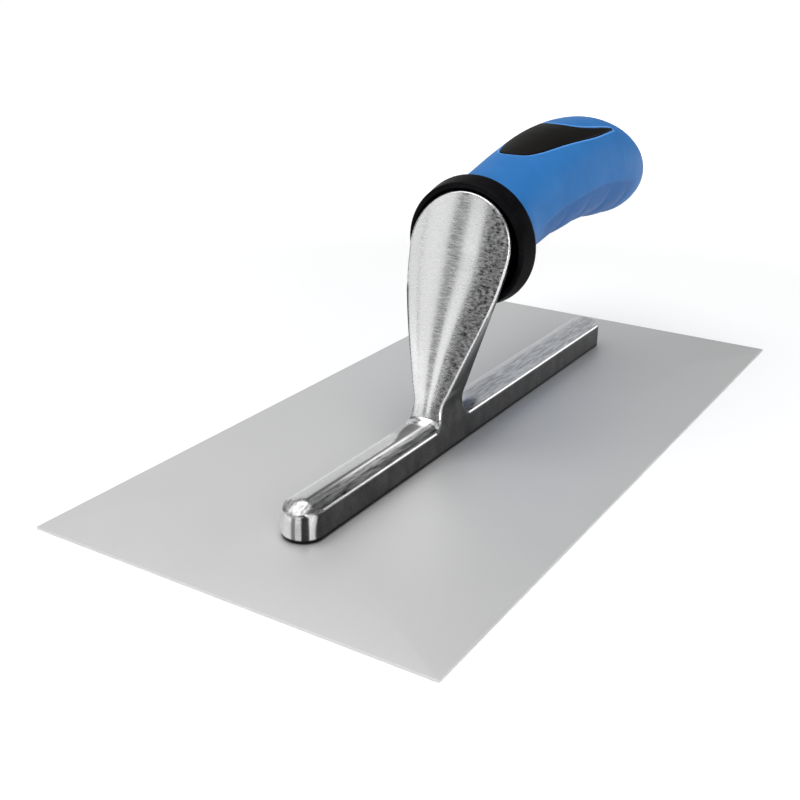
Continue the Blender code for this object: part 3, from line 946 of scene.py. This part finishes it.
def casting_grid():
    """Grid places along x, y and z, closer together where the casting curves."""
    toe, rear = BAR_FRONT + GRID_TOE, BAR_REAR - GRID_REAR
    xs = grid_line(
        (BAR_FRONT - GRID_MARGIN, toe, GRID_FINE),
        (toe, GRID_NECK[0], GRID_COARSE),
        (*GRID_NECK, GRID_FINE),
        (GRID_NECK[1], rear, GRID_COARSE),
        (rear, BAR_REAR + GRID_MARGIN, GRID_FINE),
    )
    half = CAST_HIGH.y + GRID_MARGIN
    ys = grid_line((-half, half, GRID_FINE))
    zs = grid_line(
        (BAR_BASE - GRID_MARGIN, BAR_BASE + 2 * MM, GRID_FINE / 1.5),
        (BAR_BASE + 2 * MM, 8 * MM, 1.2 * MM),
        (8 * MM, 19 * MM, GRID_FINE / 1.4),
        (19 * MM, CAST_HIGH.z + GRID_MARGIN, GRID_FINE),
    )
    return xs, ys, zs


def make_casting(material):
    points, faces, normals = skin(casting_field, *casting_grid())
    tang_points, tang_faces = tang_mesh()
    count = len(points)
    all_faces = [list(map(int, face)) for face in faces]
    all_faces += [[i + count for i in face] for face in tang_faces]
    all_points = np.concatenate([points, tang_points])
    nodes = ["shank_casting"]
    piece = add_piece("shank_and_head", all_points, all_faces, nodes, material)
    mesh = piece.data
    vertex_normals = np.zeros((len(mesh.vertices), 3), np.float32)
    mesh.vertices.foreach_get("normal", vertex_normals.ravel())
    vertex_normals[:count] = normals
    mesh.normals_split_custom_set_from_vertices(vertex_normals.tolist())
    casting_zones(mesh, all_points, vertex_normals)


def casting_zones(mesh, points, normals):
    """Stores which part of the casting is as cast, ground, torn or dull, and where shade is
    painted.
    """
    x, y, z = points.T
    nx, ny, nz = normals.T
    width = read_table(NECK, z)[0]
    on_neck = smoothstep(*NECK_FOOT, z) * (nx < FORWARD)
    on_top = (z < NECK_FOOT[0]) * (nz > TOP_FACING)

    # as cast: the sides, the rear and behind the head's rim; the far edge of the face gets the
    # same dark tone as a painted dark reflection
    cast_skin_and_painted_dark = smoothstep(*REAR_FACING, nx) * (z > NECK_FOOT[0])
    cast_skin_and_painted_dark = np.maximum(smoothstep(*SIDE_FACING, np.abs(ny)), cast_skin_and_painted_dark)
    behind = leaning(x, z, HEAD_CENTRE, HEAD_LEAN)[0]
    cast_skin_and_painted_dark = np.where(z > HEAD_FROM, smoothstep(*HEAD_RIM, behind), cast_skin_and_painted_dark)
    painted_far_limb = smoothstep(*PAINTED_LIMB_PLACE, y / width) * (nx < FORWARD)
    painted_far_limb = np.maximum(smoothstep(*PAINTED_LIMB_FACING, ny), painted_far_limb)
    cast_skin_and_painted_dark = np.maximum(cast_skin_and_painted_dark, painted_far_limb * band(z / MM, *PAINTED_LIMB_HEIGHTS, 3))

    # also dark: painted dark reflections in bands round the toe's wall, then the as-cast skin
    # round to its near side
    turn = np.degrees(np.arctan2(-ny, -nx))
    wall = 1 - smoothstep(*WALL_TILT, np.abs(nz))
    toe = (x < BAR_FRONT + BAR_HALF_WIDTH) * wall
    dark = band(turn, *TOE_DARK_REFLECTION, 4) + 0.75 * band(turn, *TOE_GREY_REFLECTION, 4)
    dark = dark + smoothstep(*TOE_SIDE, turn)
    cast_skin_and_painted_dark = cast_skin_and_painted_dark * (1 - toe) + np.clip(dark, 0, 1) * toe

    # and a painted dark reflection in a line along the front bar's top, wider towards the foot of
    # the neck
    low = PAINTED_LINE_FACING[0] - PAINTED_LINE_SPREAD * smoothstep(*PAINTED_LINE_WIDER, x)
    painted_dark_line = band(-ny, low, PAINTED_LINE_FACING[1], 0.05) * on_top
    painted_dark_line = painted_dark_line * band(x / MM, BAR_FRONT / MM + PAINTED_LINE_START, PAINTED_LINE_END, 2)
    cast_skin_and_painted_dark = np.maximum(cast_skin_and_painted_dark, 0.85 * painted_dark_line)
    # side: the as-cast skin, together with the painted dark reflections above
    store(mesh, "side", cast_skin_and_painted_dark)
    store(mesh, "face", on_neck)

    # torn: the near part of the face and of the bar's top, the toe's top, the neck's foot; the
    # dark tone there is painted shade
    near_face = on_neck * smoothstep(*WEAR_AND_SHADE_PLACE, -y / width)
    near_face = near_face * (1 - smoothstep(*WEAR_AND_SHADE_END, -ny))
    near_dome = on_top * band(-ny, *WEAR_AND_SHADE_DOME, 0.07)
    toe_top = 0.75 * on_top * (x < BAR_FRONT + TOE_TOP_LENGTH)
    toe_top = toe_top * smoothstep(*TOE_TOP_FACING, -nx) * (nz < TOE_TOP_LEVEL)
    foot = 0.55 * band(x / MM, *FOOT_LENGTH, 2) * band(z / MM, *FOOT_HEIGHTS, 1)
    foot = foot * (nz > FOOT_FACING)
    worn_and_shaded = np.maximum.reduce([near_face, near_dome, toe_top, foot])
    store(mesh, "wear_and_painted_shade", worn_and_shaded * (1 - cast_skin_and_painted_dark))

    # dull: darker grey and barely metallic on the top of the rear bar, less on its far half
    far_half = 0.55 * band(ny, *REAR_DULL_FAR, 0.10)
    rear_top = np.maximum(band(-ny, *REAR_DULL_NEAR, 0.10), far_half)
    store(mesh, "dull", on_top * smoothstep(*REAR_BAR, x) * rear_top)

    # painted shade: a contact shadow along the joint with the blade, and a dark reflection streak
    # on the toe
    painted_contact_shadow = 1 - smoothstep(*CONTACT_SHADOW_HEIGHTS, z)
    store(mesh, "painted_shade", np.maximum(painted_contact_shadow, 0.6 * band(turn, *TOE_PAINTED_STREAK, 4) * toe))


def store(mesh, name, values):
    attribute = mesh.attributes.new(name, "FLOAT", "POINT")
    attribute.data.foreach_set("value", np.asarray(values, np.float32))


# ---------------- collar and handle


def make_collar(material):
    floor = COLLAR_DEPTH - COLLAR_FLOOR
    corners = [
        (COLLAR_HOLE_RADIUS, COLLAR_DEPTH, 0.2 * MM),
        (COLLAR_RADIUS, COLLAR_DEPTH, 0.7 * MM),
        (COLLAR_RADIUS - 0.15 * MM, COLLAR_DEPTH - 1.3 * MM, 1.0 * MM),
        (COLLAR_FRONT_RADIUS, 0, 0.8 * MM),
        (COLLAR_LIP_RADIUS, 0, 0.35 * MM),
        (COLLAR_LIP_RADIUS - 0.3 * MM, floor, 0.5 * MM),
        (COLLAR_HOLE_RADIUS, floor, 0.2 * MM),
    ]
    place = axis_frame(COLLAR_CENTRE, COLLAR_TILT)
    points, faces = cleaned(*turned(rounded(corners, COLLAR_ARC_STEPS), COLLAR_STEPS, place))
    add_piece("guard_collar", points, faces, ["collar"], material)


def grip_rings():
    """Centre x, top, bottom, width ratio, scale and lean of each ring, from front to tip."""
    front = COLLAR_CENTRE + COLLAR_AXIS * GRIP_FRONT
    first = GRIP_STATIONS[0][0]
    rings = []
    # the flare behind the collar, with a small rounded lip
    top, bottom = (float(v) for v in read_table(GRIP_STATIONS, first))
    for i in range(GRIP_FLARE_RINGS):
        t = i / GRIP_FLARE_RINGS
        ease = (1 - t) ** GRIP_FLARE_POWER
        x = front.x + (first - front.x) * t
        middle = front.z + ((top + bottom) / 2 - front.z) * t
        half = (top - bottom) / 2 + (GRIP_FRONT_RADIUS - (top - bottom) / 2) * ease
        bead = 0.22 * MM * math.exp(-(((t - 0.14) / 0.12) ** 2))
        half += bead - 0.35 * MM * math.exp(-((t / 0.06) ** 2))
        rings.append((x, middle + half, middle - half, 1.0, 1.0, COLLAR_TILT * (1 - t)))
    start = GRIP_END - GRIP_CAP
    for x in np.linspace(first, start, round((start - first) / GRIP_STEP) + 1)[:-1]:
        top, bottom = (float(v) for v in read_table(GRIP_STATIONS, x))
        ratio = 1 + (GRIP_WIDTH_RATIO - 1) * float(smoothstep(first, GRIP_NARROWED, x))
        rings.append((x, top, bottom, ratio, 1.0, 0.0))
    for i in range(GRIP_CAP_RINGS):
        t = math.sin(math.pi / 2 * i / (GRIP_CAP_RINGS - 0.4))
        x = start + GRIP_CAP * t
        top, bottom = (float(v) for v in read_table(GRIP_STATIONS, x))
        scale = (1 - t**GRIP_CAP_POWER) ** 0.5
        rings.append((x, top, bottom, GRIP_WIDTH_RATIO, scale, 0.0))
    return rings


def grip_surface(inset):
    """Points of the handle's outside, moved in by the inset, as an array of rings."""
    angles = math.tau * (np.arange(GRIP_AROUND) / GRIP_AROUND) + math.pi / GRIP_AROUND
    rings = []
    for x, top, bottom, ratio, scale, lean in grip_rings():
        half = max(((top - bottom) / 2 - inset) * scale, 0.02 * MM)
        middle = (top + bottom) / 2
        up = half * np.sin(angles)
        x = x - inset * (1 - scale)
        out = ratio * half * np.cos(angles)
        ring = [x - up * math.sin(lean), out, middle + up * math.cos(lean)]
        rings.append(np.stack(ring, 1))
    return np.array(rings)


def finger_zone(points, centres):
    """Height of the sculpted underside over the plain shape, and its share of each point."""
    x, y, z = points.T
    below = np.arctan2(centres - z, np.abs(y))
    length = smoothstep(*ZONE_FRONT, x) * (1 - smoothstep(*ZONE_REAR, x))
    share = smoothstep(ZONE_ANGLE - ZONE_EDGE, ZONE_ANGLE + ZONE_EDGE, below) * length
    deep = smoothstep(ZONE_ANGLE, ZONE_ANGLE + PILLOW_ANGLE, below) * length
    valleys = sum(
        np.exp(-np.abs((x - place) / VALLEY_WIDTH) ** VALLEY_POWER) for place in VALLEYS
    )
    pillow = PILLOW_HEIGHT * deep
    return pillow - ZONE_DEPTH * share - VALLEY_DEPTH * deep * valleys, share


def pad_line():
    """The pad's outline in plan, as a closed polyline."""
    half = [Vector((x, y)) for x, y in PAD_OUTLINE]
    loop = half + [Vector((p.x, -p.y)) for p in reversed(half[1:-1])]
    line = []
    count = len(loop)
    for i, point in enumerate(loop):
        before, following, later = loop[i - 1], loop[(i + 1) % count], loop[(i + 2) % count]
        span = (following - point).length
        start = (following - before).normalized() * span
        end = (later - point).normalized() * span
        for k in range(PAD_CURVE_STEPS):
            line.append(hermite(point, start, following, end, k / PAD_CURVE_STEPS))
    return np.array([tuple(p) for p in line])


def pad_distance(points):
    """Signed plan distance to the pad's outline, below zero inside. Far points get a large one."""
    line = pad_line()
    following = np.roll(line, -1, 0)
    distance = np.full(len(points), 1.0)
    near = np.flatnonzero(
        (points[:, 2] > PAD_LOW)
        & (np.abs(points[:, 1]) < line[:, 1].max() + PAD_REACH)
        & (points[:, 0] > line[:, 0].min() - PAD_REACH)
        & (points[:, 0] < line[:, 0].max() + PAD_REACH)
    )
    for block in np.array_split(near, max(1, len(near) // 20000)):
        p = points[block, None, :2]
        side = following - line
        t = np.clip(((p - line) * side).sum(2) / (side**2).sum(1), 0, 1)
        away = np.sqrt(((p - line - t[..., None] * side) ** 2).sum(2)).min(1)
        low, high = line[:, 1], following[:, 1]
        spans = (low > p[..., 1]) != (high > p[..., 1])
        run = np.where(side[:, 1] == 0, 1, side[:, 1])
        cross = line[:, 0] + (p[..., 1] - low) * side[:, 0] / run
        inside = (spans & (p[..., 0] < cross)).sum(1) % 2 == 1
        distance[block] = np.where(inside, -away, away)
    return distance


def grip_shell():
    """The handle's outside as a mesh that is finest along the pad's outline, with its normals."""
    outer = grip_surface(GRIP_INSET)
    around = outer.shape[1]
    mesh = bmesh.new()
    verts = [[mesh.verts.new(point) for point in ring] for ring in outer]
    for a, b in zip(verts, verts[1:]):
        for i in range(around):
            j = (i + 1) % around
            mesh.faces.new((a[i], a[j], b[j], b[i]))
    mesh.faces.new(verts[-1])
    mesh.verts.index_update()
    for reach in PAD_REFINE:
        points = np.array([vert.co for vert in mesh.verts])
        close = np.abs(pad_distance(points)) < reach
        edges = [e for e in mesh.edges if close[e.verts[0].index] and close[e.verts[1].index]]
        bmesh.ops.subdivide_edges(mesh, edges=edges, cuts=1, use_grid_fill=True)
        mesh.verts.index_update()
    bmesh.ops.recalc_face_normals(mesh, faces=mesh.faces)
    mesh.normal_update()
    points = np.array([vert.co for vert in mesh.verts])
    normals = np.array([vert.normal for vert in mesh.verts])
    faces = [[vert.index for vert in face.verts] for face in mesh.faces]
    mesh.free()
    return points, normals, faces


def make_handle(blue, black):
    """The blue sleeve with its recess, and the pad that lies in it."""
    points, normals, faces = grip_shell()
    distance = pad_distance(points)
    rows = grip_rings()
    centres = np.interp(points[:, 0], [r[0] for r in rows], [(r[1] + r[2]) / 2 for r in rows])
    sculpt, share = finger_zone(points, centres)

    # sleeve: a rounded lip, then the wall of the recess and its floor
    lip = np.clip((distance - RECESS_GAP) / RECESS_LIP, 0, 1)
    drop = RECESS_LIP * (1 - np.sqrt(1 - (1 - lip) ** 2))
    wall = smoothstep(RECESS_GAP - 0.14 * MM, RECESS_GAP + 0.02 * MM, distance)
    sunk = -RECESS_DEPTH * (1 - wall) - drop * wall
    offset = np.where(distance < 0.9 * MM, sunk, 0) + sculpt
    outer = points + normals * offset[:, None]

    inner = grip_surface(GRIP_WALL)
    inner = np.concatenate([inner[:-1:GRIP_INNER_SKIP], inner[-1:]])
    around = inner.shape[1]
    base = len(outer)
    inner_points = inner.reshape(-1, 3)
    turns = [(i, (i + 1) % around) for i in range(around)]
    starts = [base + k * around for k in range(len(inner))]
    sleeve_faces = list(faces)
    for a, b in zip(starts, starts[1:]):
        sleeve_faces += [[a + j, a + i, b + i, b + j] for i, j in turns]
    sleeve_faces.append([starts[-1] + i for i in reversed(range(around))])
    sleeve_faces += [[j, i, base + i, base + j] for i, j in turns]
    sleeve_points = np.concatenate([outer, inner_points])
    nodes = ["grip_sleeve"]
    sleeve = add_piece("grip_sleeve_blue", sleeve_points, sleeve_faces, nodes, blue)
    # painted highlight: a paler blue along the front lip and in a ring on the recess's lip round
    # the pad
    from_front = (points - np.array(COLLAR_CENTRE)) @ np.array(COLLAR_AXIS) - GRIP_FRONT
    front_lip_highlight = 1 - smoothstep(0.3 * GRIP_PAINTED_HIGHLIGHT_WIDTH, GRIP_PAINTED_HIGHLIGHT_WIDTH, from_front)
    edge = np.maximum(front_lip_highlight, band(distance / MM, 0.25, 0.5, 0.25))
    none = np.zeros(len(inner_points))
    store(sleeve.data, "zone", np.concatenate([share, none]))
    store(sleeve.data, "edge", np.concatenate([edge, none]))
    outward(sleeve)

    # pad: flush, with a rounded border that goes down into the recess
    keep = [face for face in faces if all(distance[i] < 0.06 * MM for i in face)]
    used = sorted({i for face in keep for i in face})
    number = {old: new for new, old in enumerate(used)}
    depth = np.clip((distance[used] + PAD_EDGE) / PAD_EDGE, 0, 1)
    top_drop = PAD_EDGE * (1 - np.sqrt(1 - np.minimum(depth, 0.999) ** 2))
    skirt = PAD_THICKNESS - PAD_EDGE - PAD_CLEARANCE
    skirt = skirt * smoothstep(-0.03 * MM, 0.05 * MM, distance[used])
    top = points[used] + normals[used] * (-top_drop - skirt)[:, None]
    bottom = points[used] - normals[used] * PAD_THICKNESS
    count = len(used)
    top_faces = [[number[i] for i in face] for face in keep]
    pad_faces = top_faces + [[i + count for i in reversed(face)] for face in top_faces]
    edges = {}
    for face in top_faces:
        for a, b in zip(face, face[1:] + face[:1]):
            edges[(a, b)] = True
    for a, b in edges:
        if (b, a) not in edges:
            pad_faces.append([b, a, a + count, b + count])
    pad_points = np.concatenate([top, bottom])
    nodes = ["palm_pad"]
    pad = add_piece("palm_pad_black", pad_points, pad_faces, nodes, black)
    outward(pad)


def outward(obj):
    """Turns the faces of a closed piece outwards."""
    mesh = bmesh.new()
    mesh.from_mesh(obj.data)
    bmesh.ops.recalc_face_normals(mesh, faces=mesh.faces)
    mesh.to_mesh(obj.data)
    mesh.free()


# ---------------- floor, light and camera


def make_floor():
    bpy.ops.mesh.primitive_circle_add(vertices=96, radius=FLOOR_RADIUS, fill_type="NGON")
    floor = bpy.context.object
    floor.name = "floor"
    floor.location.z = cad_low.z
    floor.data.materials.append(floor_look())


def softbox(name, azimuth, elevation, across, high, distance, radiance):
    """An area light that faces the trowel from that direction and covers those angles."""
    a, e = math.radians(azimuth), math.radians(elevation)
    away = Vector((math.cos(a) * math.cos(e), math.sin(a) * math.cos(e), math.sin(e)))
    data = bpy.data.lights.new(name, "AREA")
    data.shape = "RECTANGLE"
    data.size = 2 * distance * math.tan(math.radians(across / 2))
    data.size_y = 2 * distance * math.tan(math.radians(high / 2))
    data.energy = radiance * math.pi * data.size * data.size_y
    light = bpy.data.objects.new(name, data)
    light.location = LIGHT_TARGET + away * distance
    light.rotation_euler = away.to_track_quat("Z", "Y").to_euler()
    light.visible_camera = False
    bpy.context.scene.collection.objects.link(light)


def make_lights():
    for light in LIGHTS:
        softbox(*light)
    world = bpy.data.worlds.new("studio")
    bpy.context.scene.world = world
    world.use_nodes = True
    nodes, links = world.node_tree.nodes, world.node_tree.links
    background = nodes["Background"]
    background.inputs["Color"].default_value = ROOM_TINT
    # dim as a light on the trowel, white where the camera sees it
    strength = nodes.new("ShaderNodeMapRange")
    strength.inputs["To Min"].default_value = ROOM_RADIANCE
    strength.inputs["To Max"].default_value = BACKDROP_RADIANCE
    links.new(nodes.new("ShaderNodeLightPath").outputs["Is Camera Ray"], strength.inputs["Value"])
    links.new(strength.outputs["Result"], background.inputs["Strength"])


def make_camera():
    data = bpy.data.cameras.new("camera")
    data.sensor_width = CAMERA_SENSOR
    data.lens = CAMERA_LENS
    data.shift_x = CAMERA_SHIFT
    camera = bpy.data.objects.new("camera", data)
    camera.location = CAMERA_PLACE
    camera.rotation_euler = Euler([math.radians(a) for a in CAMERA_TURN], "XYZ")
    bpy.context.scene.collection.objects.link(camera)
    bpy.context.scene.camera = camera


def main():
    make_blade(steel_look())
    make_rivets(rivet_look())
    make_casting(casting_look())
    make_collar(collar_look())
    make_handle(grip_look(), pad_look())
    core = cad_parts["handle_core"]
    core.data.materials.clear()
    core.data.materials.append(core_look())
    make_floor()
    make_lights()
    make_camera()
    bpy.context.scene.view_settings.view_transform = "Standard"


main()
